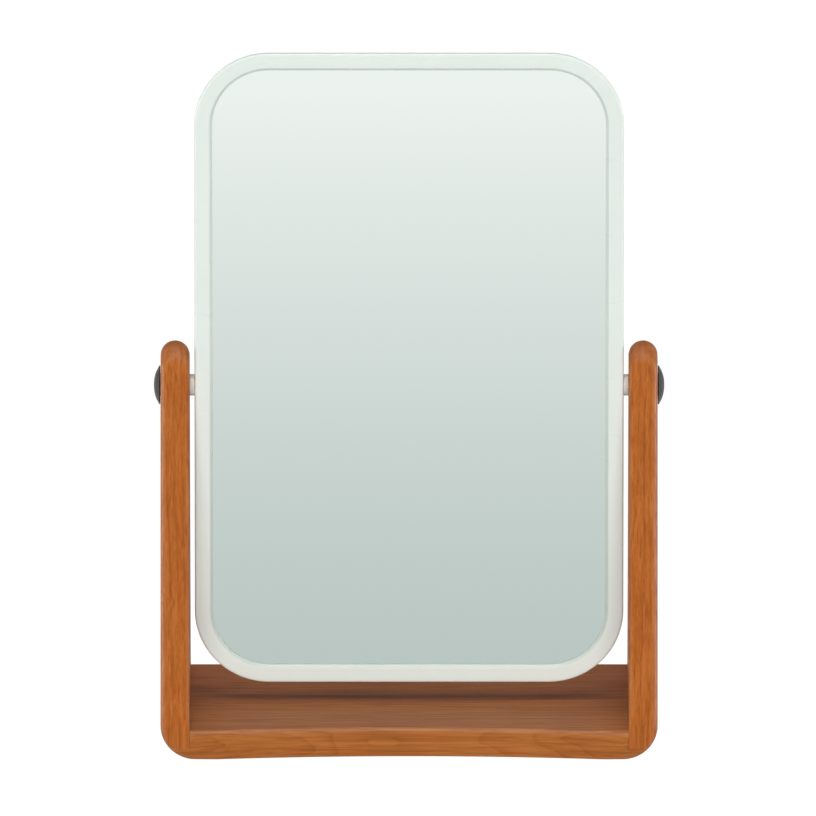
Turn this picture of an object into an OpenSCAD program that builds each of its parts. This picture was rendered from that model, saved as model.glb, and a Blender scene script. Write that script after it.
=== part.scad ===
// Tabletop swivel mirror: a framed mirror hung between two tapered wooden posts on a
// wooden base board. +X is to the right, +Y to the back and +Z up. The origin is on
// the surface it stands on, under the middle of the base.

/* [Stand] */
// Width across the two posts
stand_w = 200; // [199:1:220]
// Depth of the base board, front to back
base_d = 100; // [90:1:130]
// Thickness of the base board
base_t = 12; // [11:0.5:16]
// How far the front edge of the base curves in at its middle
base_bow = 5.75; // [2:0.25:12]
// Radius of the stand's two outer bottom corners
corner_r = 14; // [12:1:16]
// Thickness of each post
post_t = 11.7; // [11:0.1:12]
// Depth of a post at its top, which is a half circle seen from the side
post_head_d = 22; // [18:1:30]
// Thickness of the base left under each post
lip_t = 5.1; // [4:0.1:6]
// Radius on the edges of the wood
edge_r = 3; // [1.5:0.5:3.5]
// Chamfer along the long edges of the base
chamfer = 1; // [0.5:0.25:1.5]

/* [Feet] */
// Diameter of a rubber foot
foot_d = 10; // [8:1:14]
// Height of a rubber foot
foot_h = 0.5; // [0.5:0.25:2]

/* [Mirror head] */
// Width of the mirror frame
head_w = 172.7; // [164:0.1:172.7]
// Height of the mirror frame
head_h = 263; // [240:0.5:264]
// Depth of the mirror frame
head_t = 10; // [10:0.5:12]
// Outer corner radius of the mirror frame
head_r = 30; // [22:1:40]
// Width of the frame's face around the glass
rim_w = 7.25; // [6.75:0.05:9]
// Width of the bevel next to the glass
bevel = 1.2; // [0.6:0.1:1.2]
// Thickness of the frame's front lip
rim_lip_t = 1.6; // [1.6:0.1:2]
// Thickness of the glass
glass_t = 3; // [2:0.5:3]
// Thickness of the backing board
board_t = 2.4; // [2:0.1:2.6]

/* [Pivot] */
// Height of the tilt axis above the surface the stand is on
pivot_z = 143.6; // [140:0.1:160]
// Height of the middle of the mirror above the tilt axis
head_rise = 8.1; // [5:0.05:8.5]
// Diameter of the threaded stud
stud_d = 4; // [3:0.5:4]
// Diameter of the flange that spaces the frame from the post
flange_d = 8.7; // [7.5:0.1:10]
// Diameter of the knob
knob_d = 15.7; // [14:0.1:18]
// Height of the knob's dome
dome_h = 2.4; // [2:0.1:4]

/* [Hidden] */

$fn = 96;
blend_fn = 32;
bow_fn = 720;
eps = 0.01;
fit = 0.05;

wood = "#a9622e";
wood_end = "#8f4f24";
frame_white = "#dfe9e1";
glass_tint = "#c9d8d3";
pad_grey = "#5a5d60";
board_brown = "#8a6a4a";
nylon_grey = "#bfb9a9";
knob_black = "#3a3934";
steel = "#a8abae";
brass = "#b5975a";
rubber_black = "#2b2b2b";

// Stand
base_z = foot_h;
base_top = base_z + base_t;
joint_z = base_z + lip_t;
post_x = stand_w / 2 - post_t / 2;
post_in_x = stand_w / 2 - post_t;
post_head_r = post_head_d / 2;
post_head_rise = 7.2;
post_head_z = pivot_z + post_head_rise;
post_top = post_head_z + post_head_r;
post_top_r = post_t / 2 - fit;
bow_end_gap = 4;
bow_chamfer_extra = 0.25;
bow_half_w = post_in_x - bow_end_gap;
bow_r = (pow(bow_half_w, 2) + pow(base_bow, 2)) / (2 * base_bow);
bow_y = -base_d / 2 + base_bow - bow_r;
dowel_d = 4;
dowel_len = 18;
dowel_in_post = 6;
dowel_y = 28;
dowel_z = (joint_z + base_top) / 2;
foot_inset_x = 26;
foot_inset_y = 13;
foot_x = stand_w / 2 - foot_inset_x;
foot_y = base_d / 2 - foot_inset_y;

// Mirror head, in depth from front to back; foam fills what is left behind the glass
head_z = pivot_z + head_rise;
face_y = -head_t / 2;
glass_y = face_y + rim_lip_t;
pad_y = glass_y + glass_t;
cover_t = 1.9;
cover_set_back = 0.1;
cover_back_y = head_t / 2 - cover_set_back;
cover_y = cover_back_y - cover_t;
board_y = cover_y - board_t;
face_r = 1.2;
side_t = 2;
taper_inset = 2.25;
wall_t = 6;
glass_gap = 0.15;
glass_inset = wall_t + glass_gap;
pad_inset = glass_inset + 1;
cover_inset = 2.4;
panel_inset = 11;
panel_drop = 0.6;

// Screws in the back cover
screw_inset = 4.7;
screw_d = 1.8;
screw_len = 5;
screw_head_d = 3.4;
screw_head_t = 1.1;
screw_sink = 1.2;
screw_gap = 0.15;
cross_w = 2.2;
cross_slot = 0.5;
cross_depth = 0.8;
screw_side_z = 85;
screw_end_x = 45;

// Pivot, from the frame's side outwards
insert_d = 5.4;
insert_len = 5;
waist_d = 4.7;
waist_len = 1.2;
pivot_boss_d = 7.2;
frame_gap = 0.05;
flange_in_x = head_w / 2 + frame_gap;
sleeve_d = 6.4;
recess_d = 11;
recess_depth = 2.7;
recess_x = stand_w / 2 - recess_depth;
washer_d = 10;
washer_t = 0.8;
washer_gap = 0.2;
spring_d = 9.4;
spring_t = 0.5;
spring_cone = 0.75;
spring_x = recess_x + washer_t + fit;
boss_d = 9;
knob_gap = 0.15;
knob_x = stand_w / 2 + knob_gap;
knob_edge = 0.2;
boss_x = spring_x + spring_t + spring_cone + fit;
stud_short = 0.3;
stud_in_x = head_w / 2 - insert_len + stud_short;
stud_head_sink = 0.1;
stud_head_x = knob_x - stud_head_sink;
stud_head_af = 7;
stud_head_t = 1.6;

// Lies along X from x0 to x1 on the tilt axis
module along_x(x0, x1, d) {
    translate([x0, 0, pivot_z]) rotate([0, 90, 0]) cylinder(h = x1 - x0, d = d);
}

// Turns a half section, drawn as radius against distance along X, about the tilt axis
module turned_on_axis() {
    translate([0, 0, pivot_z]) rotate([0, 90, 0]) rotate_extrude() children();
}

// Mirrors what is drawn for the right side to the given side
module on_side(side) {
    mirror([side < 0 ? 1 : 0, 0, 0]) children();
}

module rounded_rect(w, h, r) {
    square([w - 2 * r, h], center = true);
    square([w, h - 2 * r], center = true);
    for (x = [-1, 1], y = [-1, 1])
        translate([x * (w / 2 - r), y * (h / 2 - r)]) circle(r = r);
}

// Outline of the stand seen from the front, with its two round bottom corners
module stand_outline() {
    outline_h = post_top + 1 - base_z;
    translate([0, base_z]) {
        translate([-stand_w / 2, corner_r]) square([stand_w, outline_h - corner_r]);
        translate([-stand_w / 2 + corner_r, 0]) square([stand_w - 2 * corner_r, outline_h]);
        for (side = [-1, 1])
            translate([side * (stand_w / 2 - corner_r), corner_r]) circle(r = corner_r);
    }
}

// Extrudes a front view through the whole depth of the base
module through_depth() {
    translate([0, base_d / 2 + 1, 0]) rotate([90, 0, 0]) linear_extrude(base_d + 2) children();
}

// Extrudes a side view, drawn as depth against height, through the whole width
module through_width() {
    translate([-stand_w / 2 - 1, 0, 0])
        rotate([90, 0, 90])
            linear_extrude(stand_w + 2) children();
}

// Blind holes for the dowels, or the dowels themselves
module dowel_rods(side, d, extra) {
    on_side(side)
        for (y = [-dowel_y, dowel_y])
            translate([post_in_x + dowel_in_post + extra, y, dowel_z])
                rotate([0, -90, 0])
                    cylinder(h = dowel_len + 2 * extra, d = d);
}

module base_plan() {
    difference() {
        rounded_rect(stand_w, base_d, edge_r);
        translate([0, bow_y]) circle(r = bow_r, $fn = bow_fn);
    }
}

// Side view of the base, chamfered along its front and rear edges
module base_side_outline() {
    y = base_d / 2;
    polygon([
        [-y, base_z + chamfer],
        [-y + chamfer, base_z],
        [y - chamfer, base_z],
        [y, base_z + chamfer],
        [y, base_top - chamfer],
        [y - chamfer, base_top],
        [-y + chamfer, base_top],
        [-y, base_top - chamfer]]);
}

// Chamfers the bowed front edge, above and below, a little more than the straight ends
module bow_chamfer() {
    mid_z = (base_z + base_top) / 2;
    cut = chamfer + bow_chamfer_extra;
    translate([0, bow_y, mid_z])
        rotate_extrude($fn = bow_fn)
            for (flip = [0, 1])
                mirror([0, flip])
                    polygon([
                        [bow_r - cut, base_t / 2 - 2 * cut],
                        [bow_r + 2 * cut, base_t / 2 + cut],
                        [bow_r - cut, base_t / 2 + cut]]);
}

module base_board() {
    color(wood)
        difference() {
            intersection() {
                translate([0, 0, base_z]) linear_extrude(base_t) base_plan();
                through_depth() stand_outline();
                through_width() base_side_outline();
            }
            for (side = [-1, 1]) {
                on_side(side)
                    translate([post_in_x, -base_d, joint_z])
                        cube([post_t + 1, 2 * base_d, base_t]);
                dowel_rods(side, dowel_d + 2 * fit, fit);
            }
            bow_chamfer();
        }
}

// Disc on the X axis with rounded rims
module rounded_disc(r, t, rim) {
    rotate([0, 90, 0])
        rotate_extrude($fn = blend_fn)
            intersection() {
                translate([0, -t / 2]) square([r, t]);
                union() {
                    translate([0, -t / 2]) square([r - rim, t]);
                    for (y = [-1, 1])
                        translate([r - rim, y * (t / 2 - rim)]) circle(r = rim, $fn = blend_fn);
                    translate([0, -t / 2 + rim]) square([r, t - 2 * rim]);
                }
            }
}

// Post before it is trimmed: a tapered board with every edge rounded
module post_blank() {
    hull() {
        translate([post_x, 0, post_head_z]) rounded_disc(post_head_r, post_t, edge_r);
        for (x = [-1, 1], y = [-1, 1])
            translate([post_x + x * (post_t / 2 - edge_r), y * (base_d / 2 - edge_r), joint_z])
                cylinder(h = base_top - joint_z, r = edge_r, $fn = blend_fn);
    }
}

// Front view of a post: round at the top, with the stand's corner at the bottom
module post_outline() {
    intersection() {
        stand_outline();
        union() {
            translate([post_in_x, joint_z]) square([post_t, post_top - post_top_r - joint_z]);
            translate([post_in_x + post_top_r, joint_z])
                square([post_t - 2 * post_top_r, post_top - joint_z]);
            for (x = [post_in_x + post_top_r, stand_w / 2 - post_top_r])
                translate([x, post_top - post_top_r]) circle(r = post_top_r);
        }
    }
}

module post(side) {
    color(wood)
        difference() {
            on_side(side)
                difference() {
                    intersection() {
                        post_blank();
                        through_depth() post_outline();
                    }
                    along_x(post_in_x - 1, stand_w / 2 + 1, sleeve_d + 2 * fit);
                    along_x(recess_x, stand_w / 2 + 1, recess_d);
                }
            dowel_rods(side, dowel_d + 2 * fit, fit);
        }
}

module left_post() { post(-1); }
module right_post() { post(1); }

module joint_dowels() {
    color(wood_end)
        for (side = [-1, 1])
            dowel_rods(side, dowel_d, 0);
}

module rubber_feet() {
    color(rubber_black)
        for (x = [-1, 1], y = [-1, 1])
            translate([x * foot_x, y * foot_y, 0]) {
                cylinder(h = foot_h / 2, d1 = foot_d - foot_h / 2, d2 = foot_d);
                translate([0, 0, foot_h / 2]) cylinder(h = foot_h / 2, d = foot_d);
            }
}

// Flanged bush: the flange shows between frame and post, the sleeve lines the post
module pivot_bush(side) {
    color(nylon_grey)
        on_side(side)
            difference() {
                union() {
                    along_x(flange_in_x, post_in_x, flange_d);
                    along_x(post_in_x - eps, recess_x, sleeve_d);
                }
                along_x(flange_in_x - 1, recess_x + 1, stud_d + 3 * fit);
            }
}

module left_pivot_bush() { pivot_bush(-1); }
module right_pivot_bush() { pivot_bush(1); }

module flat_washer(side) {
    color(steel)
        on_side(side)
            difference() {
                along_x(recess_x, recess_x + washer_t, washer_d);
                along_x(recess_x - 1, recess_x + washer_t + 1, stud_d + 2 * washer_gap);
            }
}

module left_flat_washer() { flat_washer(-1); }
module right_flat_washer() { flat_washer(1); }

// Cross-section of the mirror frame: outwards along the first axis, front to back
// along the second, with the corner's centre at 0. Its outside draws in towards the back.
module frame_section() {
    inner = head_r - rim_w;
    taper_y = face_y + side_t;
    difference() {
        union() {
            translate([inner, face_y + face_r]) square([rim_w, side_t - face_r]);
            translate([inner, face_y]) square([rim_w - face_r, side_t]);
            translate([head_r - face_r, face_y + face_r]) circle(r = face_r);
            polygon([
                [inner, taper_y],
                [head_r, taper_y],
                [head_r - taper_inset, cover_y],
                [inner, cover_y]]);
        }
        translate([inner - 1, glass_y]) square([rim_w - wall_t + 1, head_t]);
        polygon([
            [inner - 1, face_y - 1],
            [inner + bevel + 1, face_y - 1],
            [inner - 1, face_y + bevel + 1]]);
    }
}

// Carries the section round the frame: four turned corners joined by four straights
module swept_frame() {
    side_w = head_w - 2 * head_r;
    side_h = head_h - 2 * head_r;
    translate([0, 0, head_z])
        rotate([90, 0, 0])
            for (turn = [0, 1, 2, 3]) {
                ahead = turn % 2 == 0 ? side_w : side_h;
                across = turn % 2 == 0 ? side_h : side_w;
                rotate(90 * turn)
                    translate([ahead / 2, across / 2]) {
                        mirror([0, 0, 1]) rotate_extrude(angle = 90) frame_section();
                        rotate([90, 0, 0])
                            linear_extrude(across) mirror([0, 1]) frame_section();
                    }
            }
}

// Places of the cover screws, as X and height above the middle of the head
function screw_places() = [
    for (x = [-1, 1], z = [-1, 1]) [x * (head_w / 2 - screw_inset), z * screw_side_z],
    for (x = [-1, 1], z = [-1, 1]) [x * screw_end_x, z * (head_h / 2 - screw_inset)]];

// Draws its children at each screw, with +Z pointing out of the back
module at_screws() {
    for (p = screw_places())
        translate([p[0], cover_back_y, head_z + p[1]]) rotate([-90, 0, 0]) children();
}

// Plate in the head's plane, inset from the frame's outline, from depth y0 to y1
module head_plate(y0, y1, inset) {
    translate([0, y1, head_z])
        rotate([90, 0, 0])
            linear_extrude(y1 - y0)
                rounded_rect(head_w - 2 * inset, head_h - 2 * inset, head_r - inset);
}

// Square end for the pivot on the frame's tapered side
module pivot_boss(side) {
    on_side(side)
        intersection() {
            along_x(head_w / 2 - wall_t, head_w / 2, pivot_boss_d);
            translate([0, face_y, 0]) cube([head_w, cover_y - face_y, head_h + pivot_z]);
        }
}

module mirror_frame() {
    color(frame_white)
        difference() {
            union() {
                swept_frame();
                pivot_boss(-1);
                pivot_boss(1);
            }
            along_x(-head_w, head_w, insert_d + 2 * fit);
            at_screws()
                translate([0, 0, -screw_sink - screw_len - 1])
                    cylinder(h = screw_len + 1, d = screw_d + 2 * fit);
        }
}

module mirror_glass() {
    color(glass_tint) head_plate(glass_y, pad_y, glass_inset);
}

module foam_pad() {
    color(pad_grey) head_plate(pad_y, board_y, pad_inset);
}

module backing_board() {
    color(board_brown) head_plate(board_y, cover_y, glass_inset);
}

module back_cover() {
    color(frame_white)
        difference() {
            head_plate(cover_y, cover_back_y, cover_inset);
            head_plate(cover_back_y - panel_drop, head_t, panel_inset);
            at_screws() {
                translate([0, 0, -screw_sink])
                    cylinder(h = screw_sink + 1, d = screw_head_d + 2 * screw_gap);
                translate([0, 0, -cover_t - 1])
                    cylinder(h = cover_t + 1, d = screw_d + 2 * screw_gap);
            }
        }
}

module cover_screw() {
    difference() {
        union() {
            translate([0, 0, -screw_sink]) cylinder(h = screw_head_t, d = screw_head_d);
            translate([0, 0, -screw_sink - screw_len]) cylinder(h = screw_len + eps, d = screw_d);
        }
        for (turn = [0, 90])
            rotate(turn) cube([cross_w, cross_slot, 2 * cross_depth], center = true);
    }
}

module cover_screws() {
    color(steel) at_screws() cover_screw();
}

// Threaded insert with a waist between its two knurled bands
module insert(side) {
    in_x = head_w / 2 - insert_len;
    waist_x = in_x + (insert_len - waist_len) / 2;
    color(brass)
        on_side(side)
            difference() {
                along_x(in_x, head_w / 2, insert_d);
                difference() {
                    along_x(waist_x, waist_x + waist_len, insert_d + 1);
                    along_x(in_x, head_w / 2, waist_d);
                }
                along_x(in_x - 1, head_w / 2 + 1, stud_d + 2 * fit);
            }
}

module left_insert() { insert(-1); }
module right_insert() { insert(1); }

// Cone washer that keeps the joint tight: its rim bears on the flat washer
module spring_washer(side) {
    bore_r = stud_d / 2 + washer_gap;
    color(steel)
        on_side(side)
            turned_on_axis()
                polygon([
                    [bore_r, spring_x + spring_cone],
                    [spring_d / 2, spring_x],
                    [spring_d / 2, spring_x + spring_t],
                    [bore_r, spring_x + spring_cone + spring_t]]);
}

module left_spring_washer() { spring_washer(-1); }
module right_spring_washer() { spring_washer(1); }

// Stud with a six-sided head, which the knob is moulded round
module stud_shape() {
    along_x(stud_in_x, stud_head_x + eps, stud_d);
    translate([stud_head_x, 0, pivot_z])
        rotate([0, 90, 0])
            cylinder(h = stud_head_t, d = stud_head_af / cos(30), $fn = 6);
}

module stud(side) {
    color(steel) on_side(side) stud_shape();
}

module left_stud() { stud(-1); }
module right_stud() { stud(1); }

// Half section of the knob: a thin slice of a ball on a narrow edge, with a boss inside
module knob_section() {
    ball_r = (pow(knob_d / 2, 2) + pow(dome_h, 2)) / (2 * dome_h);
    rim_x = knob_x + knob_edge;
    translate([0, knob_x]) square([knob_d / 2, knob_edge]);
    translate([0, boss_x]) square([boss_d / 2, knob_x - boss_x]);
    intersection() {
        translate([0, rim_x + dome_h - ball_r]) circle(r = ball_r);
        translate([0, rim_x]) square([knob_d / 2, dome_h + 1]);
    }
}

module knob(side) {
    color(knob_black)
        on_side(side)
            difference() {
                turned_on_axis() knob_section();
                stud_shape();
            }
}

module left_knob() { knob(-1); }
module right_knob() { knob(1); }

base_board();
left_post();
right_post();
joint_dowels();
rubber_feet();
left_pivot_bush();
right_pivot_bush();
left_flat_washer();
right_flat_washer();
mirror_frame();
mirror_glass();
foam_pad();
backing_board();
back_cover();
cover_screws();
left_insert();
right_insert();
left_spring_washer();
right_spring_washer();
left_stud();
right_stud();
left_knob();
right_knob();
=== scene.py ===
import math

import bmesh
import bpy
from mathutils import Matrix, Vector


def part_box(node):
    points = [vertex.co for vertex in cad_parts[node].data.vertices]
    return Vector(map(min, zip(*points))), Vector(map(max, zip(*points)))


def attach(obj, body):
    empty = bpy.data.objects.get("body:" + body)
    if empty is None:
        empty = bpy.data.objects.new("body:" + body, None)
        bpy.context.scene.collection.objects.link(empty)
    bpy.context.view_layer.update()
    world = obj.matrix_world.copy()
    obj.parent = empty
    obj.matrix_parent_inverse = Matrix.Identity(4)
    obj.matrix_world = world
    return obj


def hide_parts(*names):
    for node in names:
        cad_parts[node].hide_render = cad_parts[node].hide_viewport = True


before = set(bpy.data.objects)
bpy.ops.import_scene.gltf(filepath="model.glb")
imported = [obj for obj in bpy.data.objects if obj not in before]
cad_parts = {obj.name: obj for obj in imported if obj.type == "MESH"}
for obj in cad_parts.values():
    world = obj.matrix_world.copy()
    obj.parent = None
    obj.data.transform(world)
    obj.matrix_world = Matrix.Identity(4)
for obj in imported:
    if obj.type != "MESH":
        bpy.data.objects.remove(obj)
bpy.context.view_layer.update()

MM = 0.001

# Sizes that the boxes of the CAD nodes don't give, in metres
BOW = 5.75 * MM
CORNER_R = 14 * MM
POST_HEAD_R = 11 * MM
DOWEL_D = 4.1 * MM
SLEEVE_BORE = 6.5 * MM
RECESS_D = 11 * MM
FRAME_R = 30 * MM
RIM_W = 7.25 * MM
RIM_BEVEL = 1.2 * MM
WALL_T = 6 * MM
SIDE_T = 2 * MM
TAPER_INSET = 2.25 * MM
PIVOT_BOSS_D = 7.2 * MM
INSERT_BORE = 5.5 * MM
SCREW_D = 1.8 * MM
SCREW_BORE = 1.9 * MM
SCREW_CLEARANCE_D = 2.1 * MM
SCREW_HEAD_D = 3.4 * MM
SCREW_COUNTERBORE_D = 3.7 * MM
SCREW_SINK = 1.2 * MM
SCREW_INSET = 4.7 * MM
SCREW_SIDE_Z = 85 * MM
SCREW_END_X = 45 * MM
PANEL_INSET = 11 * MM
PANEL_DROP = 0.6 * MM
STUD_D = 4.1 * MM
STUD_HEAD_AF = 7 * MM
STUD_HEAD_T = 1.6 * MM
SLEEVE_D = 6.4 * MM
BUSH_BORE = 4.16 * MM
KNOB_BOSS_D = 9 * MM
KNOB_GAP = 0.15 * MM
FOOT_D = 10 * MM

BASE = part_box("base_board")
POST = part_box("right_post")
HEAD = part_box("mirror_frame")
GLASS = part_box("mirror_glass")
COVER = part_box("back_cover")
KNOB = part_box("right_knob")
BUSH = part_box("right_pivot_bush")
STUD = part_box("right_stud")
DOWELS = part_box("joint_dowels")
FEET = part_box("rubber_feet")
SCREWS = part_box("cover_screws")
PIVOT_Z = (STUD[0].z + STUD[1].z) / 2
STAND_X = POST[1].x
POST_IN_X = POST[0].x
POST_MID_X = (STAND_X + POST_IN_X) / 2
JOINT_Z = POST[0].z
CORNER_Z = BASE[0].z + CORNER_R


# ---------------------------------------------------------------- meshes

def finished_mesh(name, bm):
    """Turns a bmesh into an object in the row frame, with doubled points merged."""
    bmesh.ops.remove_doubles(bm, verts=bm.verts, dist=1e-6)
    bmesh.ops.dissolve_degenerate(bm, dist=1e-7, edges=bm.edges)
    bmesh.ops.recalc_face_normals(bm, faces=bm.faces)
    mesh = bpy.data.meshes.new(name)
    bm.to_mesh(mesh)
    bm.free()
    obj = bpy.data.objects.new(name, mesh)
    bpy.context.scene.collection.objects.link(obj)
    return obj


def add_loft(bm, rings, loop=False, end_cap=True):
    """Joins rings of equal length with faces, and closes the two ends unless it loops."""
    rows = [[bm.verts.new(p) for p in ring] for ring in rings]
    pairs = list(zip(rows, rows[1:]))
    if loop:
        pairs.append((rows[-1], rows[0]))
    for a, b in pairs:
        for i in range(len(a)):
            j = (i + 1) % len(a)
            bm.faces.new((a[i], a[j], b[j], b[i]))
    if not loop:
        bm.faces.new(rows[0][::-1])
        if end_cap:
            bm.faces.new(rows[-1])


def loft(name, rings, loop=False, end_cap=True):
    bm = bmesh.new()
    add_loft(bm, rings, loop, end_cap)
    return finished_mesh(name, bm)


def turned_rings(profile, origin, axis, segments, start=0.0):
    """Rings of a turned shape: profile is (radius, distance along the axis) from end to end."""
    axis = Vector(axis).normalized()
    side = axis.orthogonal().normalized()
    other = axis.cross(side)
    rings = []
    for radius, along in profile:
        ring = []
        for k in range(segments):
            a = start + 2 * math.pi * k / segments
            offset = side * math.cos(a) + other * math.sin(a)
            ring.append(Vector(origin) + axis * along + offset * max(radius, 1e-5))
        rings.append(ring)
    return rings


def rod(bm, start, axis, length, diameter, segments=48):
    """Adds a closed rod to a bmesh, for cutting holes."""
    profile = [(diameter / 2, 0), (diameter / 2, length)]
    add_loft(bm, turned_rings(profile, start, axis, segments))


def block(bm, lo, hi):
    """Adds a closed block to a bmesh, for cutting steps."""
    rings = []
    for x in (lo[0], hi[0]):
        rings.append([(x, lo[1], lo[2]), (x, hi[1], lo[2]), (x, hi[1], hi[2]), (x, lo[1], hi[2])])
    add_loft(bm, rings)


def combine(obj, other_bm, operation):
    """Adds the shapes in a bmesh to an object for good, or cuts them out of it."""
    cutter = finished_mesh("cutter", other_bm)
    cut = obj.modifiers.new("cut", "BOOLEAN")
    cut.operation = operation
    cut.solver = "EXACT"
    cut.object = cutter
    bpy.context.view_layer.update()
    depsgraph = bpy.context.evaluated_depsgraph_get()
    mesh = bpy.data.meshes.new_from_object(obj.evaluated_get(depsgraph))
    obj.modifiers.clear()
    obj.data = mesh
    bpy.data.objects.remove(cutter)


def carve(obj, cutter_bm):
    """Cuts the shapes in a bmesh out of an object."""
    combine(obj, cutter_bm, "DIFFERENCE")


def shade(obj, sharp_deg=32):
    """Smooth shading, broken at real corners and weighted so that flats stay flat."""
    bm = bmesh.new()
    bm.from_mesh(obj.data)
    for face in bm.faces:
        face.smooth = True
    for edge in bm.edges:
        whole = len(edge.link_faces) == 2
        edge.smooth = whole and edge.calc_face_angle() < math.radians(sharp_deg)
    bm.to_mesh(obj.data)
    bm.free()
    even = obj.modifiers.new("even_normals", "WEIGHTED_NORMAL")
    even.keep_sharp = True
    return obj


def mirrored(obj, name):
    """A copy of an object on the other side of the middle plane, facing outwards."""
    mesh = obj.data.copy()
    mesh.name = name
    mesh.transform(Matrix.Scale(-1, 4, (1, 0, 0)))
    mesh.flip_normals()
    twin = bpy.data.objects.new(name, mesh)
    bpy.context.scene.collection.objects.link(twin)
    return twin


def arc(n, start_deg=0.0, end_deg=90.0):
    """Angles in radians from start to end in n steps."""
    return [math.radians(start_deg + (end_deg - start_deg) * k / n) for k in range(n + 1)]


def smooth_step(value, low, high):
    """0 below low, 1 above high, and an even rise between them."""
    t = min(max((value - low) / (high - low), 0.0), 1.0)
    return t * t * (3 - 2 * t)


# ---------------------------------------------------------------- stand

EDGE_STEPS = 9
OUTER_EDGE_R = 3 * MM
INNER_EDGE_R = 1.9 * MM
JOINT_EDGE_R = 0.5 * MM
BASE_EDGE_R = 1.2 * MM
BASE_TOP_R = 3.2 * MM


def inset_outline_x(z, inset):
    """Half width of the stand's front outline, moved inwards by inset, at height z."""
    if z >= CORNER_Z:
        return STAND_X - inset
    square = (CORNER_R - inset) ** 2 - (CORNER_Z - z) ** 2
    return STAND_X - CORNER_R + math.sqrt(max(square, 0.0))


def inset_outline_z(x, inset):
    """Height of the underside of that outline, moved inwards by inset, at x."""
    across = abs(x) - (STAND_X - CORNER_R)
    if across <= 0:
        return BASE[0].z + inset
    square = (CORNER_R - inset) ** 2 - across ** 2
    return CORNER_Z - math.sqrt(max(square, 0.0))


def bow_front_y(x):
    """Depth of the base's front edge, which curves in between the posts."""
    if abs(x) >= POST_IN_X:
        return BASE[0].y
    radius = (POST_IN_X ** 2 + BOW ** 2) / (2 * BOW)
    return BASE[0].y + BOW - radius + math.sqrt(radius ** 2 - x ** 2)


def base_ring(x):
    """Section of the base at x, with its long edges rounded."""
    edge_r = BASE_EDGE_R + (OUTER_EDGE_R - BASE_EDGE_R) * smooth_step(abs(x), 76 * MM, 90 * MM)
    ring = []
    lower = []
    for a in arc(EDGE_STEPS):
        lower.append((edge_r * (1 - math.sin(a)), inset_outline_z(x, edge_r * (1 - math.cos(a)))))
    upper = []
    for a in reversed(arc(EDGE_STEPS)):
        upper.append((BASE_TOP_R * (1 - math.sin(a)), BASE[1].z - BASE_TOP_R * (1 - math.cos(a))))
    for depth, z in lower + upper:
        ring.append((x, bow_front_y(x) + depth, z))
    for depth, z in reversed(lower + upper):
        ring.append((x, BASE[1].y - depth, z))
    return ring


def base_stations():
    """Places along the base at which its section is drawn, close together where it curves."""
    end = inset_outline_x(JOINT_Z, 0) + 0.35 * MM
    flat = STAND_X - CORNER_R
    inner = [flat * k / 28 for k in range(28)]
    outer = [flat + (end - flat) * k / 14 for k in range(15)]
    half = inner + outer
    return [-x for x in reversed(half[1:])] + half


def build_base_board():
    """The board, stepped down at both ends for the posts."""
    obj = loft("base_board_shaped", [base_ring(x) for x in base_stations()])
    cuts = bmesh.new()
    for side in (-1, 1):
        a, b = sorted((side * POST_IN_X, side * (STAND_X + 5 * MM)))
        block(cuts, (a, BASE[0].y - 5 * MM, JOINT_Z), (b, BASE[1].y + 5 * MM, BASE[1].z + 5 * MM))
    carve(obj, cuts)
    holes = bmesh.new()
    add_dowel_holes(holes, (-1, 1))
    carve(obj, holes)
    return shade(obj)


def add_dowel_holes(bm, sides):
    """Adds the rods that cut the two dowel holes of each side."""
    inner_end = POST_IN_X - 12.05 * MM
    outer_end = DOWELS[1].x + 0.05 * MM
    dowel_z = (DOWELS[0].z + DOWELS[1].z) / 2
    dowel_y = DOWELS[1].y - DOWEL_D / 2 + 0.05 * MM
    for side in sides:
        for y in (-dowel_y, dowel_y):
            start = (side * inner_end, y, dowel_z)
            rod(bm, start, (side, 0, 0), outer_end - inner_end, DOWEL_D, 32)


def post_outline():
    """Front half of the post's side view: points with inward directions, from bottom to top."""
    centre = Vector((0, POST[1].z - POST_HEAD_R))
    foot = Vector((POST[0].y, BASE[1].z))
    to_foot = foot - centre
    turn = math.acos(POST_HEAD_R / to_foot.length)
    tangent_angle = math.atan2(to_foot.y, to_foot.x) % (2 * math.pi) - turn
    tangent = centre + POST_HEAD_R * Vector((math.cos(tangent_angle), math.sin(tangent_angle)))
    slope = (tangent - foot).normalized()
    lean = math.atan2(slope.x, slope.y)
    ease_r = 30 * MM
    ease = ease_r * math.tan(lean / 2)
    points = []
    low = foot.y - ease
    for k in range(5):
        z = JOINT_Z + (low - JOINT_Z) * k / 5
        points.append((Vector((foot.x, z)), Vector((1, 0))))
    ease_centre = Vector((foot.x + ease_r, low))
    for k in range(9):
        a = lean * k / 8
        inward = Vector((math.cos(a), -math.sin(a)))
        points.append((ease_centre - inward * ease_r, inward))
    start = foot + slope * ease
    inward = Vector((math.cos(lean), -math.sin(lean)))
    steps = 26
    for k in range(1, steps + 1):
        t = (k / steps) ** 1.6
        points.append((start + (tangent - start) * t, inward))
    arc_steps = 22
    for k in range(1, arc_steps + 1):
        a = tangent_angle + (math.pi / 2 - tangent_angle) * k / arc_steps
        outward = Vector((math.cos(a), math.sin(a)))
        points.append((centre + outward * POST_HEAD_R, -outward))
    return points


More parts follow.
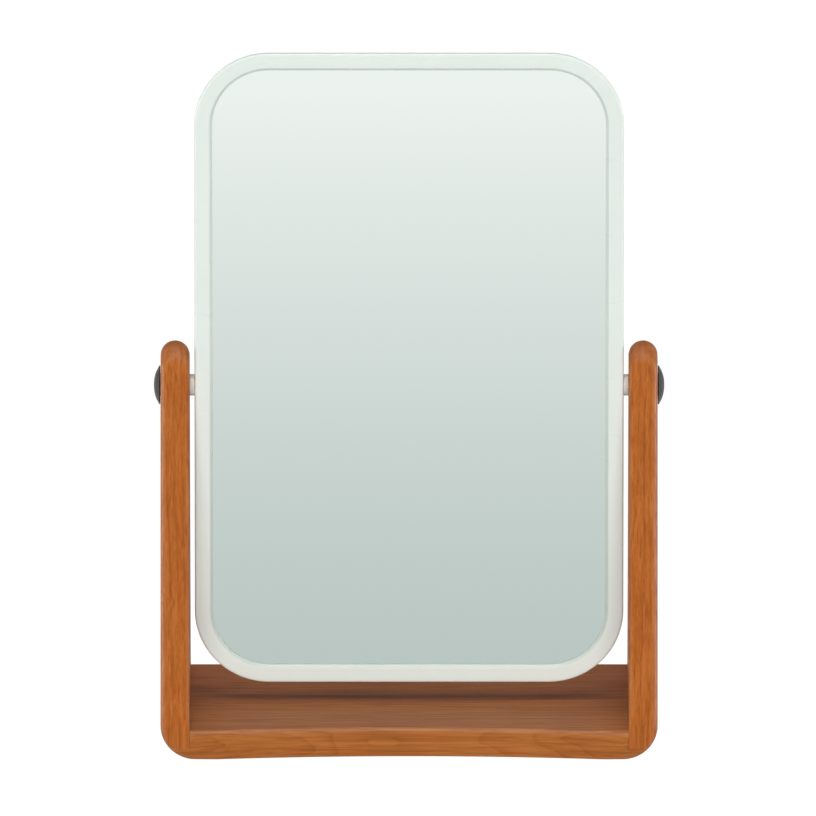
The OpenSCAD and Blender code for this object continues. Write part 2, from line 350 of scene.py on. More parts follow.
def post_row(point, inward):
    """Front half of one section of the right post, from its outer to its inner face.

    Near the foot the outer rounding stops early, so that it never meets the inner one.
    """
    top = smooth_step(point.y, POST[1].z - 9 * MM, POST[1].z - 0.7 * MM)
    round_r = (STAND_X - POST_IN_X) / 2 - 0.05 * MM
    rise = smooth_step(point.y, BASE[1].z - 1 * MM, BASE[1].z + 9 * MM)
    outer_r = OUTER_EDGE_R + (round_r - OUTER_EDGE_R) * top
    inner_r = JOINT_EDGE_R + (INNER_EDGE_R - JOINT_EDGE_R) * rise
    inner_r += (round_r - inner_r) * top
    row = []
    last = math.pi / 2
    if point.y < CORNER_Z:
        reach = math.hypot(POST_IN_X + 0.7 * MM - (STAND_X - CORNER_R), CORNER_Z - point.y)
        inset_limit = CORNER_R - reach
        if inset_limit < outer_r:
            last = math.acos(1 - inset_limit / outer_r)
    for k in range(EDGE_STEPS + 1):
        a = last * k / EDGE_STEPS
        yz = point + inward * outer_r * (1 - math.sin(a))
        row.append((inset_outline_x(yz.y, outer_r * (1 - math.cos(a))), yz.x, yz.y))
    sunk = outer_r * (1 - math.sin(last))
    for a in reversed(arc(EDGE_STEPS)):
        yz = point + inward * (sunk + inner_r * (1 - math.sin(a)))
        row.append((POST_IN_X + inner_r * (1 - math.cos(a)), yz.x, yz.y))
    return row


def build_post():
    """The right post, round at the top, with its pivot hole, recess and dowel holes."""
    rings = []
    for point, inward in post_outline():
        front = post_row(point, inward)
        back = [(x, -y, z) for x, y, z in reversed(front)]
        rings.append(front + back)
    obj = loft("right_post_shaped", rings, end_cap=False)
    holes = bmesh.new()
    rod(holes, (POST_IN_X - 2 * MM, 0, PIVOT_Z), (1, 0, 0), 20 * MM, SLEEVE_BORE)
    carve(obj, holes)
    recess = bmesh.new()
    rod(recess, (BUSH[1].x, 0, PIVOT_Z), (1, 0, 0), 10 * MM, RECESS_D, 64)
    carve(obj, recess)
    dowels = bmesh.new()
    add_dowel_holes(dowels, (1,))
    carve(obj, dowels)
    return shade(obj)


# ---------------------------------------------------------------- mirror head

HEAD_MID = (HEAD[0] + HEAD[1]) / 2
HEAD_HALF = (HEAD[1] - HEAD[0]) / 2
CORNER_STEPS = 24
BOSS_STEPS = 44


def head_ring(inset, y):
    """One turn round the head at a distance in from its outline, at depth y."""
    half_w = HEAD_HALF.x - inset
    half_h = HEAD_HALF.z - inset
    r = FRAME_R - inset
    ring = []
    for quarter, (sx, sz) in enumerate(((1, 1), (-1, 1), (-1, -1), (1, -1))):
        for a in arc(CORNER_STEPS, 90 * quarter, 90 * quarter + 90):
            x = HEAD_MID.x + sx * (half_w - r) + r * math.cos(a)
            z = HEAD_MID.z + sz * (half_h - r) + r * math.sin(a)
            ring.append((x, y, z))
    return ring


def rounded_corner(before, corner, after, radius, steps=6):
    """Points of a fillet of one corner of a section, drawn as a curve between two tangents."""
    before, corner, after = Vector(before), Vector(corner), Vector(after)
    a = corner + (before - corner).normalized() * radius
    b = corner + (after - corner).normalized() * radius
    points = []
    for k in range(steps + 1):
        t = k / steps
        points.append(a * (1 - t) ** 2 + corner * 2 * t * (1 - t) + b * t * t)
    return points


def rounded_section(corners):
    """A closed section with its corners rounded: corners are (inset, depth, radius)."""
    points = []
    count = len(corners)
    for k, (inset, y, radius) in enumerate(corners):
        before = corners[k - 1][:2]
        after = corners[(k + 1) % count][:2]
        if radius > 0:
            points += rounded_corner(before, (inset, y), after, radius)
        else:
            points.append(Vector((inset, y)))
    return points


def screw_places():
    """Middles of the eight cover screws, as (x, z)."""
    side_x = HEAD_HALF.x - SCREW_INSET
    end_z = HEAD_HALF.z - SCREW_INSET
    places = [(x * side_x, z * SCREW_SIDE_Z) for x in (-1, 1) for z in (-1, 1)]
    places += [(x * SCREW_END_X, z * end_z) for x in (-1, 1) for z in (-1, 1)]
    return [(x, HEAD_MID.z + z) for x, z in places]


def inset_from_outline(x, z):
    """Distance in from the head's outline of a point in its plane."""
    across = abs(x - HEAD_MID.x) - (HEAD_HALF.x - FRAME_R)
    along = abs(z - HEAD_MID.z) - (HEAD_HALF.z - FRAME_R)
    if across > 0 and along > 0:
        return FRAME_R - math.hypot(across, along)
    return FRAME_R - max(across, along)


def mark_lip(obj):
    """Marks the bevel next to the glass, where painted shade darkens the frame to a thin grey line.
    """
    lip = obj.data.attributes.new("lip", "FLOAT", "POINT")
    edge = RIM_W - RIM_BEVEL
    for vertex, value in zip(obj.data.vertices, lip.data):
        near = vertex.co.y < GLASS[0].y + 0.01 * MM
        inset = inset_from_outline(vertex.co.x, vertex.co.z)
        value.value = smooth_step(inset, edge - 0.2 * MM, edge + 0.3 * MM) if near else 0.0


def add_boss(bm, start, side, length, back):
    """Adds a round boss along X to a bmesh, cut flat at the back of the frame."""
    radius = PIVOT_BOSS_D / 2
    stop = math.degrees(math.asin(back / radius))
    angles = arc(BOSS_STEPS, -stop, 180 + stop)
    rings = []
    for x in (start[0], start[0] + side * length):
        ring = []
        for a in angles:
            ring.append((x, -radius * math.sin(a), start[2] + radius * math.cos(a)))
        rings.append(ring)
    add_loft(bm, rings)


def build_mirror_frame():
    """The moulded frame: bevelled rim, tapered sides, pivot bosses and screw holes."""
    front, back = HEAD[0].y, HEAD[1].y
    section = rounded_section([
        (RIM_W, GLASS[0].y, 0),
        (RIM_W, front + RIM_BEVEL, 0.15 * MM),
        (RIM_W - RIM_BEVEL, front, 0.35 * MM),
        (0, front, 1.2 * MM),
        (0, front + SIDE_T, 0.7 * MM),
        (TAPER_INSET, back, 0.3 * MM),
        (WALL_T, back, 0),
        (WALL_T, GLASS[0].y, 0)])
    obj = loft("mirror_frame_shaped", [head_ring(p.x, p.y) for p in section], loop=True)
    bosses = bmesh.new()
    for side in (-1, 1):
        start = (side * (HEAD[1].x - WALL_T + 0.5 * MM), 0, PIVOT_Z)
        add_boss(bosses, start, side, WALL_T - 0.5 * MM, back)
    combine(obj, bosses, "UNION")
    holes = bmesh.new()
    for side in (-1, 1):
        start = (side * (HEAD[1].x - 8 * MM), 0, PIVOT_Z)
        rod(holes, start, (side, 0, 0), 12 * MM, INSERT_BORE)
    depth = 5.5 * MM
    for x, z in screw_places():
        rod(holes, (x, COVER[0].y - depth, z), (0, 1, 0), depth + 1 * MM, SCREW_BORE, 24)
    carve(obj, holes)
    mark_lip(obj)
    return shade(obj)


def build_mirror_glass():
    """The glass, with a fine polished arris all round."""
    inset = GLASS[0].x - HEAD[0].x
    arris = 0.25 * MM
    front, back = GLASS[0].y, GLASS[1].y
    rings = [head_ring(inset + arris, front), head_ring(inset, front + arris),
             head_ring(inset, back - arris), head_ring(inset + arris, back)]
    return shade(loft("mirror_glass_polished", rings))


def build_back_cover():
    """The cover: a raised border round a slightly sunk panel, drilled for its screws."""
    inset = COVER[0].x - HEAD[0].x
    front, back = COVER[0].y, COVER[1].y
    panel = back - PANEL_DROP
    section = [Vector((inset, front))]
    section += rounded_corner((inset, front), (inset, back), (PANEL_INSET, back), 0.5 * MM)
    section += rounded_corner((inset, back), (PANEL_INSET - 0.5 * MM, back),
                              (PANEL_INSET + 0.5 * MM, panel), 0.35 * MM)
    section += rounded_corner((PANEL_INSET - 0.5 * MM, back), (PANEL_INSET + 0.5 * MM, panel),
                              (PANEL_INSET + 5 * MM, panel), 0.35 * MM)
    obj = loft("back_cover_moulded", [head_ring(p.x, p.y) for p in section])
    holes = bmesh.new()
    for x, z in screw_places():
        rod(holes, (x, front - 1 * MM, z), (0, 1, 0), 8 * MM, SCREW_CLEARANCE_D, 32)
    carve(obj, holes)
    counterbores = bmesh.new()
    for x, z in screw_places():
        rod(counterbores, (x, back - SCREW_SINK, z), (0, 1, 0), 4 * MM, SCREW_COUNTERBORE_D, 40)
    carve(obj, counterbores)
    return shade(obj)


def build_cover_screws():
    """Pan-head screws with a cross recess, all in one mesh as in the CAD."""
    tip = SCREWS[0].y
    seat = COVER[1].y - SCREW_SINK
    top = SCREWS[1].y
    head_r = SCREW_HEAD_D / 2
    dome = 0.45 * MM
    shank_r = SCREW_D / 2
    profile = [(0.3 * MM, 0), (shank_r - 0.2 * MM, 0.7 * MM), (shank_r, 1.0 * MM),
               (shank_r, seat - tip), (head_r, seat - tip), (head_r, top - tip - dome)]
    for a in arc(6, 15, 90):
        profile.append((head_r - dome * 0.9 + dome * 0.9 * math.cos(a),
                        top - tip - dome + dome * math.sin(a)))
    bm = bmesh.new()
    for x, z in screw_places():
        add_loft(bm, turned_rings(profile, (x, tip, z), (0, 1, 0), 32))
    obj = finished_mesh("cover_screws_turned", bm)
    slots = bmesh.new()
    long, wide, deep = 1.1 * MM, 0.26 * MM, 0.8 * MM
    for x, z in screw_places():
        block(slots, (x - long, top - deep, z - wide), (x + long, top + deep, z + wide))
    carve(obj, slots)
    slots = bmesh.new()
    for x, z in screw_places():
        block(slots, (x - wide, top - deep, z - long), (x + wide, top + deep, z + long))
    carve(obj, slots)
    return shade(obj)


# ---------------------------------------------------------------- pivots and feet

def build_pivot_bush():
    """Flanged bush of the right side, with its rims eased."""
    flange_r = (BUSH[1].z - BUSH[0].z) / 2
    sleeve_r = SLEEVE_D / 2
    length = BUSH[1].x - BUSH[0].x
    flange_t = POST_IN_X - BUSH[0].x
    ease = 0.25 * MM
    bore = BUSH_BORE / 2
    outline = [(bore, 0)]
    for a in arc(5):
        outline.append((flange_r - ease + ease * math.sin(a), ease - ease * math.cos(a)))
    for a in arc(5):
        outline.append((flange_r - ease + ease * math.cos(a), flange_t - ease + ease * math.sin(a)))
    outline += [(sleeve_r, flange_t), (sleeve_r, length - 0.3 * MM), (sleeve_r - 0.3 * MM, length),
                (bore, length)]
    rings = turned_rings(outline, (BUSH[0].x, 0, PIVOT_Z), (1, 0, 0), 72)
    return shade(loft("right_pivot_bush_turned", rings, loop=True))


def build_knob():
    """Domed knob of the right side: a thin cap with a rolled edge and a boss behind it."""
    radius = (KNOB[1].z - KNOB[0].z) / 2
    boss_r = KNOB_BOSS_D / 2
    rim_x = STAND_X + KNOB_GAP - KNOB[0].x
    dome_h = KNOB[1].x - KNOB[0].x - rim_x
    ease = 0.25 * MM
    profile = [(boss_r - 0.2 * MM, 0), (boss_r, 0.2 * MM), (boss_r, rim_x)]
    for a in arc(4):
        profile.append((radius - ease + ease * math.sin(a), rim_x + ease - ease * math.cos(a)))
    crown_r = radius - 0.33 * MM
    shoulder = 0.62
    dome_steps = 14
    for k in range(dome_steps + 1):
        r = crown_r * (1 - k / dome_steps)
        height = dome_h * (1 - 0.88 * (r / radius) ** 2.35)
        if k == 0:
            profile.append((radius, rim_x + ease + (height - ease) * shoulder))
        profile.append((max(r, 0.02 * MM), rim_x + height))
    rings = turned_rings(profile, (KNOB[0].x, 0, PIVOT_Z), (1, 0, 0), 96)
    obj = loft("right_knob_turned", rings)
    socket = bmesh.new()
    rod(socket, (KNOB[0].x - 2 * MM, 0, PIVOT_Z), (1, 0, 0), rim_x + 2 * MM, STUD_D)
    carve(obj, socket)
    hexagon = bmesh.new()
    across = STUD_HEAD_AF / math.cos(math.radians(30)) + 0.02 * MM
    start = STUD[1].x - STUD_HEAD_T - 0.01 * MM
    profile = [(across / 2, 0), (across / 2, STUD_HEAD_T + 0.02 * MM)]
    add_loft(hexagon, turned_rings(profile, (start, 0, PIVOT_Z), (1, 0, 0), 6))
    carve(obj, hexagon)
    return shade(obj, 25)


def build_feet():
    """Four thin rubber pads with their lower rims rounded."""
    radius = FOOT_D / 2
    height = FEET[1].z - FEET[0].z
    foot_x = FEET[1].x - radius
    foot_y = FEET[1].y - radius
    roll = 0.6 * height
    profile = [(radius - 1.8 * roll, 0)]
    profile += [(radius - roll + roll * math.sin(a), roll - roll * math.cos(a)) for a in arc(7)]
    profile += [(radius, height)]
    bm = bmesh.new()
    for x in (-foot_x, foot_x):
        for y in (-foot_y, foot_y):
            add_loft(bm, turned_rings(profile, (x, y, FEET[0].z), (0, 0, 1), 48))
    return shade(finished_mesh("rubber_feet_moulded", bm))


# ---------------------------------------------------------------- materials

class Graph:
    """Short calls for building one material's nodes. Lengths inside it are in millimetres."""

    def __init__(self, name):
        self.material = bpy.data.materials.new(name)
        self.material.use_nodes = True
        self.tree = self.material.node_tree
        self.tree.nodes.clear()
        self.coords = self.node("ShaderNodeTexCoord")
        scaled = self.node("ShaderNodeVectorMath", {0: self.coords.outputs["Object"]},
                           operation="SCALE")
        scaled.inputs["Scale"].default_value = 1 / MM
        self.place = scaled.outputs[0]

    def node(self, kind, inputs=None, **settings):
        made = self.tree.nodes.new(kind)
        for key, value in settings.items():
            setattr(made, key, value)
        for key, value in (inputs or {}).items():
            self.feed(made.inputs[key], value)
        return made

    def feed(self, socket, value):
        if isinstance(value, bpy.types.NodeSocket):
            self.tree.links.new(value, socket)
        else:
            socket.default_value = value

    def math(self, operation, a, b=0.0, clamp=False):
        made = self.node("ShaderNodeMath", {0: a, 1: b}, operation=operation)
        made.use_clamp = clamp
        return made.outputs[0]

    def stretched(self, scale, offset=(0, 0, 0), place=None):
        made = self.node("ShaderNodeMapping", {"Vector": place or self.place,
                                               "Scale": scale, "Location": offset})
        return made.outputs[0]

    def noise(self, scale, detail=3.0, roughness=0.5, distortion=0.0, offset=(0, 0, 0), place=None):
        """Noise with so many waves to the millimetre along each axis."""
        made = self.node("ShaderNodeTexNoise", {
            "Vector": self.stretched(scale, offset, place), "Scale": 1.0, "Detail": detail,
            "Roughness": roughness, "Distortion": distortion})
        return made.outputs["Fac"]

    def spread(self, value, low, high, to_low=0.0, to_high=1.0):
        made = self.node("ShaderNodeMapRange", {
            "Value": value, "From Min": low, "From Max": high, "To Min": to_low, "To Max": to_high})
        return made.outputs[0]

    def ramp(self, value, stops):
        made = self.node("ShaderNodeValToRGB", {"Fac": value})
        elements = made.color_ramp.elements
        while len(elements) < len(stops):
            elements.new(0.5)
        for element, (position, colour) in zip(elements, stops):
            element.position = position
            element.color = (*colour, 1)
        return made.outputs["Color"]

    def blend(self, a, b, share, mode="MIX"):
        made = self.node("ShaderNodeMix", data_type="RGBA", blend_type=mode)
        for socket, value in ((made.inputs[0], share), (made.inputs[6], a), (made.inputs[7], b)):
            if isinstance(value, tuple) and len(value) == 3:
                value = (*value, 1)
            self.feed(socket, value)
        return made.outputs[2]

    def edge(self, axis):
        """1 half-way round an edge that leaves the given axis, 0 on flat faces."""
        parts = self.node("ShaderNodeSeparateXYZ", {0: self.coords.outputs["Normal"]})
        along = self.math("ABSOLUTE", parts.outputs[axis])
        rest = self.math("SQRT", self.math("SUBTRACT", 1.0, self.math("MULTIPLY", along, along)))
        return self.math("MULTIPLY", self.math("MULTIPLY", along, rest), 2.0, clamp=True)

    def facing(self, axis):
        """How squarely the surface faces along an axis."""
        parts = self.node("ShaderNodeSeparateXYZ", {0: self.coords.outputs["Normal"]})
        return self.math("ABSOLUTE", parts.outputs[axis])

    def bump(self, height, distance_mm, strength=1.0, normal=None):
        inputs = {"Height": height, "Distance": distance_mm * MM, "Strength": strength}
        if normal is not None:
            inputs["Normal"] = normal
        return self.node("ShaderNodeBump", inputs).outputs[0]

    def finish(self, **sockets):
        shader = self.node("ShaderNodeBsdfPrincipled")
        for key, value in sockets.items():
            name = key.replace("_", " ")
            if isinstance(value, tuple) and len(value) == 3:
                value = (*value, 1)
            self.feed(shader.inputs[name], value)
        self.node("ShaderNodeOutputMaterial", {"Surface": shader.outputs[0]})
        return self.material


def oiled_wood(name, grain, seed, wander, dark=(0.295, 0.069, 0.009), mid=(0.405, 0.107, 0.014),
               light=(0.49, 0.150, 0.027)):
    """Oiled reddish-brown hardwood: growth rings, fibres, pores and flecks along one axis, with a
    painted highlight on rounded edges.
    """
    g = Graph(name)

    def scale(cross, along):
        values = [cross, 0.4 * cross, cross]
        values[grain] = along
        return tuple(values)

    sway = g.noise(scale(0.03, 0.012), 2, 0.5, offset=(seed, seed * 2, 0))
    sway_fine = g.noise(scale(0.25, 0.03), 2, 0.5, offset=(seed * 3, 1, seed))
    parts = g.node("ShaderNodeSeparateXYZ", {0: g.place})
    others = [k for k in range(3) if k != grain]
    a = g.math("ADD", parts.outputs[others[0]], 46.0 + seed)
    b = g.math("ADD", parts.outputs[others[1]], -31.0 + 3 * seed)
    flat_b = g.math("MULTIPLY", b, 0.25)
    radius = g.math("SQRT", g.math("ADD", g.math("MULTIPLY", a, a),
                                   g.math("MULTIPLY", flat_b, flat_b)))
    radius = g.math("ADD", radius, g.math("MULTIPLY", sway, wander))
    radius = g.math("ADD", radius, g.math("MULTIPLY", sway_fine, 0.09 * wander))
    ring = g.math("FRACT", g.math("DIVIDE", radius, 2.6))
    late = g.spread(ring, 0.35, 0.97)
    late = g.math("MULTIPLY", late, late)

    fibre = g.noise(scale(2.0, 0.025), 5, 0.6, offset=(seed, 0, 0))
    streak = g.noise(scale(0.65, 0.011), 4, 0.6, 0.35, offset=(0, seed, 0))
    pores = g.spread(g.noise(scale(3.6, 0.055), 2, 0.55, offset=(0, 0, seed)), 0.60, 0.72)
    patch = g.noise(scale(0.05, 0.02), 2, 0.5, offset=(2, seed, 5))
    flecks = g.noise(scale(1.1, 0.022), 3, 0.6, 0.25, offset=(seed, seed, seed))
    flecks = g.math("ADD", flecks, g.math("MULTIPLY", patch, 0.22))
    flecks = g.spread(flecks, 0.68, 0.80)

    tone = g.math("ADD", g.math("MULTIPLY", fibre, 0.55), g.math("MULTIPLY", streak, 0.55))
    tone = g.math("SUBTRACT", tone, g.math("MULTIPLY", late, 0.10))
    tone = g.math("ADD", tone, g.math("MULTIPLY", patch, 0.25))
    tone = g.spread(tone, 0.34, 0.88)
    colour = g.ramp(tone, [(0.22, dark), (0.52, mid), (0.82, light)])
    colour = g.blend(colour, dark, g.math("MULTIPLY", pores, 0.5))
    colour = g.blend(colour, (0.21, 0.055, 0.010), g.math("MULTIPLY", flecks, 0.5))
    end = g.spread(g.facing(grain), 0.55, 0.95)
    speckle = g.noise((1.6, 1.6, 1.6), 4, 0.7, offset=(seed, 3, 1))
    end_colour = g.ramp(speckle, [(0.3, (0.20, 0.055, 0.010)), (0.7, (0.44, 0.125, 0.020))])
    colour = g.blend(colour, end_colour, g.math("MULTIPLY", end, 0.4))
    edge_axis = 2 if grain == 0 else 0
    # Painted highlight: rounded edges are blended towards a pale, greyer brown, as if they caught
    # the bright surroundings.
    edge_sheen = g.math("MULTIPLY", g.edge(edge_axis), g.spread(streak, 0.30, 0.60), clamp=True)
    colour = g.blend(colour, (0.48, 0.235, 0.105), g.math("MULTIPLY", edge_sheen, 0.18))

    gloss = g.math("ADD", g.spread(fibre, 0.3, 0.7, 0.56, 0.44), g.math("MULTIPLY", pores, 0.2))
    height = g.math("SUBTRACT", g.math("MULTIPLY", fibre, 0.35), g.math("MULTIPLY", pores, 0.8))
    height = g.math("SUBTRACT", height, g.math("MULTIPLY", late, 0.12))
    return g.finish(Base_Color=colour, Roughness=gloss, Normal=g.bump(height, 0.06, 0.8),
                    Coat_Weight=0.0, IOR=1.45)


def plain_wood(name, grain, pale, deep):
    """Plain turned wood or pressed fibre, for pieces inside."""
    g = Graph(name)
    values = [1.4] * 3
    values[grain] = 0.08
    fibre = g.noise(tuple(values), 5, 0.6)
    speck = g.noise((0.9, 0.9, 0.9), 4, 0.65)
    tone = g.math("ADD", g.math("MULTIPLY", fibre, 0.65), g.math("MULTIPLY", speck, 0.35))
    colour = g.ramp(tone, [(0.32, deep), (0.68, pale)])
    return g.finish(Base_Color=colour, Roughness=g.spread(speck, 0.3, 0.7, 0.62, 0.82),
                    Normal=g.bump(fibre, 0.05, 0.7))


def satin_plastic(name, colour, deep, roughness=(0.26, 0.36), grain_mm=0.012, lip=None):
    """Moulded plastic with a faint orange-peel skin, cloudy tone, a painted highlight on rounded
    edges and, where a lip colour is given, painted shade on the bevel next to the glass.
    """
    g = Graph(name)
    skin = g.noise((1.5, 1.5, 1.5), 3, 0.55)
    cloud = g.noise((0.018, 0.018, 0.018), 3, 0.5)
    fine = g.noise((7.0, 7.0, 7.0), 2, 0.6)
    tone = g.math("ADD", g.math("MULTIPLY", cloud, 0.8), g.math("MULTIPLY", fine, 0.2))
    shown = g.ramp(tone, [(0.32, deep), (0.66, colour)])
    # Painted highlight: rounded edges are pulled towards the lighter tone.
    lighter_edge = g.math("MULTIPLY", g.edge(1), g.spread(g.noise((0.12, 0.12, 0.12), 4, 0.6), 0.45, 0.7))
    shown = g.blend(shown, colour, g.math("MULTIPLY", lighter_edge, 0.5))
    # Painted shade: where the mark is set, the bevel next to the glass turns into a darker
    # grey-green line.
    if lip:
        mark = g.node("ShaderNodeAttribute", attribute_name="lip")
        shown = g.blend(shown, lip, mark.outputs["Fac"])
    smear = g.noise((0.05, 0.05, 0.22), 4, 0.6)
    gloss = g.spread(smear, 0.3, 0.7, roughness[0], roughness[1])
    height = g.math("ADD", skin, g.math("MULTIPLY", fine, 0.25))
    return g.finish(Base_Color=shown, Roughness=gloss, Normal=g.bump(height, grain_mm, 0.6),
                    Coat_Weight=0.05, Coat_Roughness=0.12, IOR=1.38)


def mirror_silver(name):
    """Silvered glass: a clean metallic reflection with the faintest wiped haze and specks."""
    g = Graph(name)
    wipe = g.noise((0.02, 0.02, 0.06), 4, 0.6, 1.2)
    haze = g.spread(wipe, 0.55, 0.8, 0.002, 0.020)
    dust = g.spread(g.noise((2.6, 2.6, 2.6), 2, 0.5), 0.78, 0.84)
    colour = g.blend((0.90, 0.945, 0.925), (0.86, 0.90, 0.88), g.math("MULTIPLY", dust, 0.5))
    gloss = g.math("ADD", haze, g.math("MULTIPLY", dust, 0.08))
    return g.finish(Base_Color=colour, Roughness=gloss, Metallic=1.0)


def coated_black(name):
    """Charcoal-black coating on metal: fine grain, brown where the edge is rubbed."""
    g = Graph(name)
    fine = g.noise((5.0, 5.0, 5.0), 3, 0.6)
    cloud = g.noise((0.25, 0.25, 0.25), 3, 0.55)
    colour = g.ramp(cloud, [(0.3, (0.022, 0.021, 0.018)), (0.7, (0.040, 0.037, 0.031))])
    lighter_edge = g.math("MULTIPLY", g.edge(0), g.spread(g.noise((0.7, 0.7, 0.7), 4, 0.65), 0.50, 0.66))
    colour = g.blend(colour, (0.115, 0.085, 0.055), g.math("MULTIPLY", lighter_edge, 0.55, clamp=True))
    gloss = g.spread(cloud, 0.3, 0.7, 0.34, 0.48)
    return g.finish(Base_Color=colour, Roughness=gloss, Normal=g.bump(fine, 0.012, 0.6),
                    Coat_Weight=0.0, IOR=1.3)


def bare_metal(name, light, deep, brushed_axis, roughness=(0.24, 0.42)):
    """Turned or plated metal with fine tool marks along one axis."""
    g = Graph(name)
    values = [6.0] * 3
    values[brushed_axis] = 0.35
    marks = g.noise(tuple(values), 4, 0.65)
    stain = g.noise((0.5, 0.5, 0.5), 3, 0.6)
    colour = g.ramp(stain, [(0.3, deep), (0.7, light)])
    gloss = g.spread(marks, 0.3, 0.7, roughness[0], roughness[1])
    return g.finish(Base_Color=colour, Roughness=gloss, Metallic=1.0,
                    Normal=g.bump(marks, 0.01, 0.7))


def soft_rubber(name, light, deep, cell):
    """Rubber or closed-cell foam: matt, with cells or grain of the given size."""
    g = Graph(name)
    frequency = 1 / cell
    cells = g.node("ShaderNodeTexVoronoi", {"Vector": g.stretched((frequency,) * 3), "Scale": 1.0})
    grime = g.noise((0.4, 0.4, 0.4), 4, 0.6)
    colour = g.ramp(grime, [(0.3, deep), (0.7, light)])
    return g.finish(Base_Color=colour, Roughness=g.spread(grime, 0.3, 0.7, 0.72, 0.9),
                    Normal=g.bump(cells.outputs["Distance"], cell * 0.15, 0.7))


# ---------------------------------------------------------------- assembly

def dress(obj, material):
    """Gives an object one material."""
    obj.data.materials.clear()
    obj.data.materials.append(material)


def stand_in(obj, node, body, material):
    """Shows a detailed piece in place of a CAD node."""
    dress(obj, material)
    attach(obj, body)
    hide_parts(node)


def build_object():
    """Builds every shown piece and dresses the CAD nodes that stay."""
    post_wood = oiled_wood("oiled_wood_upright", 2, 4.0, 7.0)
    base_wood = oiled_wood("oiled_wood_level", 0, 9.0, 18.0, dark=(0.262, 0.073, 0.012),
                           mid=(0.368, 0.110, 0.018), light=(0.45, 0.152, 0.033))
    # The frame's last colour is painted shade: a darker grey-green for the bevel next to the glass.
    frame_skin = satin_plastic("frame_satin", (0.80, 0.865, 0.815), (0.765, 0.835, 0.785),
                               lip=(0.665, 0.75, 0.69))
    cover_skin = satin_plastic("cover_textured", (0.74, 0.785, 0.745), (0.69, 0.735, 0.70),
                               (0.48, 0.62), 0.05)
    nylon = satin_plastic("bush_nylon", (0.74, 0.72, 0.66), (0.67, 0.65, 0.59), (0.40, 0.52), 0.01)
    rubber = soft_rubber("foot_rubber", (0.035, 0.035, 0.036), (0.018, 0.018, 0.019), 0.35)
    foam = soft_rubber("pad_foam", (0.13, 0.13, 0.14), (0.07, 0.07, 0.075), 0.5)
    black = coated_black("knob_coating")
    steel = bare_metal("zinc_steel", (0.62, 0.63, 0.64), (0.45, 0.46, 0.48), 0)
    brass = bare_metal("insert_brass", (0.78, 0.60, 0.28), (0.60, 0.43, 0.18), 0)
    beech = plain_wood("dowel_beech", 0, (0.66, 0.47, 0.27), (0.50, 0.33, 0.17))
    board = plain_wood("pressed_board", 1, (0.30, 0.18, 0.09), (0.19, 0.11, 0.055))

    stand_in(build_base_board(), "base_board", "stand", base_wood)
    right_post = build_post()
    left_post = shade(mirrored(right_post, "left_post_shaped"))
    stand_in(right_post, "right_post", "stand", post_wood)
    stand_in(left_post, "left_post", "stand", post_wood)
    stand_in(build_feet(), "rubber_feet", "stand", rubber)
    right_bush = build_pivot_bush()
    left_bush = shade(mirrored(right_bush, "left_pivot_bush_turned"))
    stand_in(right_bush, "right_pivot_bush", "stand", nylon)
    stand_in(left_bush, "left_pivot_bush", "stand", nylon)

    stand_in(build_mirror_frame(), "mirror_frame", "mirror_head", frame_skin)
    stand_in(build_mirror_glass(), "mirror_glass", "mirror_head",
             mirror_silver("mirror_silver"))
    stand_in(build_back_cover(), "back_cover", "mirror_head", cover_skin)
    stand_in(build_cover_screws(), "cover_screws", "mirror_head", steel)

    right_knob = build_knob()
    left_knob = shade(mirrored(right_knob, "left_knob_turned"), 25)
    stand_in(right_knob, "right_knob", "right_thumb_knob", black)
    stand_in(left_knob, "left_knob", "left_thumb_knob", black)

    kept = {"joint_dowels": beech, "foam_pad": foam, "backing_board": board,
            "left_insert": brass, "right_insert": brass}
    for side in ("left", "right"):
        for part in ("flat_washer", "spring_washer", "stud"):
            kept[f"{side}_{part}"] = steel
    for node, material in kept.items():
        dress(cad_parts[node], material)


# ---------------------------------------------------------------- studio

def build_floor():
    """Pale floor that glows: near white to the camera.

    To reflections its glow is dimmer close to the mirror and nearly white a metre in front of it.
    """
    bm = bmesh.new()
    reach = 30.0
    corners = [(-reach, -reach), (reach, -reach), (reach, reach), (-reach, reach)]
    bm.faces.new([bm.verts.new((x, y, 0)) for x, y in corners])
    mesh = bpy.data.meshes.new("studio_floor")
    bm.to_mesh(mesh)
    bm.free()
    floor = bpy.data.objects.new("studio_floor", mesh)
    bpy.context.scene.collection.objects.link(floor)
    g = Graph("studio_floor")
    path = g.node("ShaderNodeLightPath")
    parts = g.node("ShaderNodeSeparateXYZ", {0: g.place})
    near_glow = (0.54, 0.60, 0.585)
    far_glow = (0.93, 0.94, 0.925)
    ahead = g.spread(g.math("MULTIPLY", parts.outputs[1], -1.0), 100.0, 960.0)
    behind = g.spread(parts.outputs[1], 0.0, 40.0)
    glow = g.blend(near_glow, far_glow, g.math("POWER", ahead, 1.25))
    glow = g.blend(glow, (1.0, 1.0, 1.0), behind)
    reflected = g.node("ShaderNodeEmission", {"Color": glow, "Strength": 1.0})
    bright = g.node("ShaderNodeEmission", {"Color": (1, 1, 1, 1), "Strength": 1.24})
    matt = g.node("ShaderNodeBsdfDiffuse", {"Color": (0.56, 0.57, 0.565, 1)})
    shown = g.node("ShaderNodeMixShader", {0: 0.2, 1: bright.outputs[0], 2: matt.outputs[0]})
    direct = g.node("ShaderNodeMixShader", {
        0: path.outputs["Is Camera Ray"], 1: matt.outputs[0], 2: shown.outputs[0]})
    final = g.node("ShaderNodeMixShader", {
        0: path.outputs["Is Glossy Ray"], 1: direct.outputs[0], 2: reflected.outputs[0]})
    g.node("ShaderNodeOutputMaterial", {"Surface": final.outputs[0]})
    dress(floor, g.material)


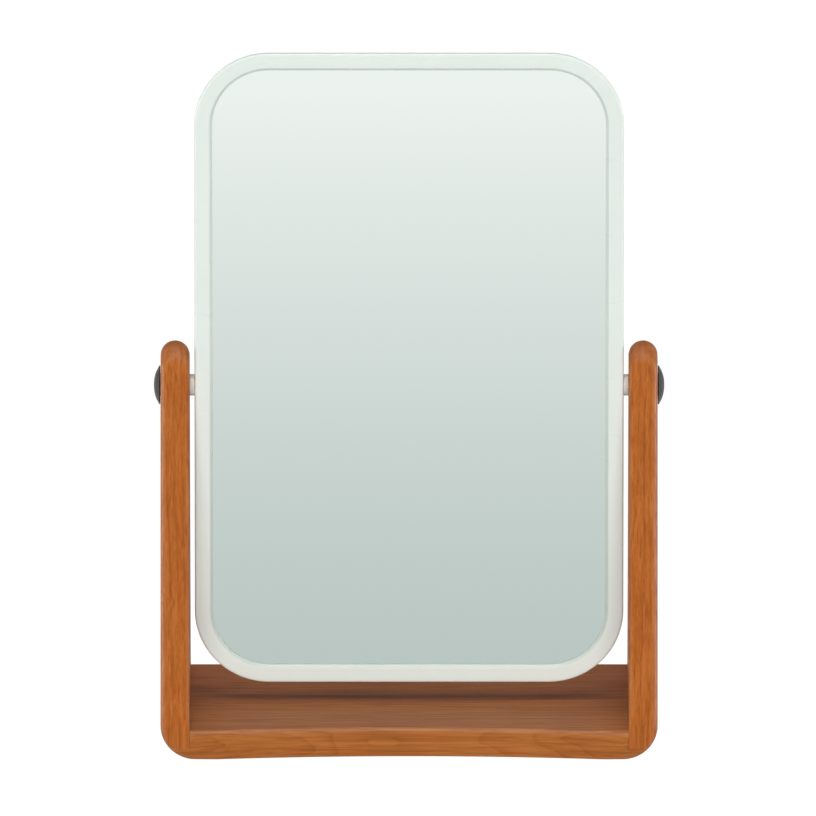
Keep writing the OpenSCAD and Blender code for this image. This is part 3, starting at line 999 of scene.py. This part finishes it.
def build_world():
    """White to the camera, mid grey in reflections, and almost no light of its own."""
    world = bpy.data.worlds.new("studio")
    bpy.context.scene.world = world
    world.use_nodes = True
    tree = world.node_tree
    tree.nodes.clear()
    path = tree.nodes.new("ShaderNodeLightPath")
    level = tree.nodes.new("ShaderNodeMix")
    level.inputs[2].default_value = 0.02
    tree.links.new(path.outputs["Is Glossy Ray"], level.inputs[0])
    level.inputs[3].default_value = 0.3
    ambient = tree.nodes.new("ShaderNodeBackground")
    ambient.inputs["Color"].default_value = (1, 1, 1, 1)
    tree.links.new(level.outputs[0], ambient.inputs["Strength"])
    white = tree.nodes.new("ShaderNodeBackground")
    white.inputs["Color"].default_value = (1, 1, 1, 1)
    white.inputs["Strength"].default_value = 1.0
    mix = tree.nodes.new("ShaderNodeMixShader")
    out = tree.nodes.new("ShaderNodeOutputWorld")
    tree.links.new(path.outputs["Is Camera Ray"], mix.inputs[0])
    tree.links.new(ambient.outputs[0], mix.inputs[1])
    tree.links.new(white.outputs[0], mix.inputs[2])
    tree.links.new(mix.outputs[0], out.inputs["Surface"])


def soft_light(name, place, target, size, power):
    """A white soft box aimed at a point, which the camera doesn't see."""
    light = bpy.data.lights.new(name, "AREA")
    light.shape = "RECTANGLE"
    light.size, light.size_y = size
    light.energy = power
    obj = bpy.data.objects.new(name, light)
    obj.location = place
    obj.rotation_euler = (Vector(target) - Vector(place)).to_track_quat("-Z", "Y").to_euler()
    bpy.context.scene.collection.objects.link(obj)
    obj.visible_camera = False
    return obj


def build_camera():
    """The photo was taken from far off, 16 degrees from above."""
    elevation = math.radians(16)
    distance = 15.0
    width_seen = 0.3285
    target = Vector((-0.44 * MM, 0, 133.9 * MM))
    data = bpy.data.cameras.new("camera")
    data.sensor_width = 36
    data.lens = data.sensor_width * distance / width_seen
    data.clip_start = 0.1
    data.clip_end = 100
    obj = bpy.data.objects.new("camera", data)
    direction = Vector((0, -math.cos(elevation), math.sin(elevation)))
    obj.location = target + direction * distance
    obj.rotation_euler = (-direction).to_track_quat("-Z", "Y").to_euler()
    bpy.context.scene.collection.objects.link(obj)
    bpy.context.scene.camera = obj


def build_studio():
    """Floor, surroundings, low lights on all four sides, one light from above, and camera."""
    build_floor()
    build_world()
    key = soft_light("key_front", (0, -3.0, 0.12), (0, 0, 0.14), (2.4, 0.22), 67)
    back = soft_light("fill_back", (0, 3.0, 0.11), (0, 0, 0.14), (2.4, 0.2), 54)
    for light in (key, back):
        light.visible_glossy = False
    soft_light("fill_left", (-3.0, 0.2, 0.2), (0, 0, 0.14), (1.2, 0.36), 36)
    soft_light("fill_right", (3.0, 0.2, 0.2), (0, 0, 0.14), (1.2, 0.36), 36)
    soft_light("overhead", (0, -0.30, 1.9), (0, 0, 0.1), (0.8, 1.5), 20)
    build_camera()
    settings = bpy.context.scene.view_settings
    settings.view_transform = "Standard"
    settings.look = "None"


build_object()
build_studio()
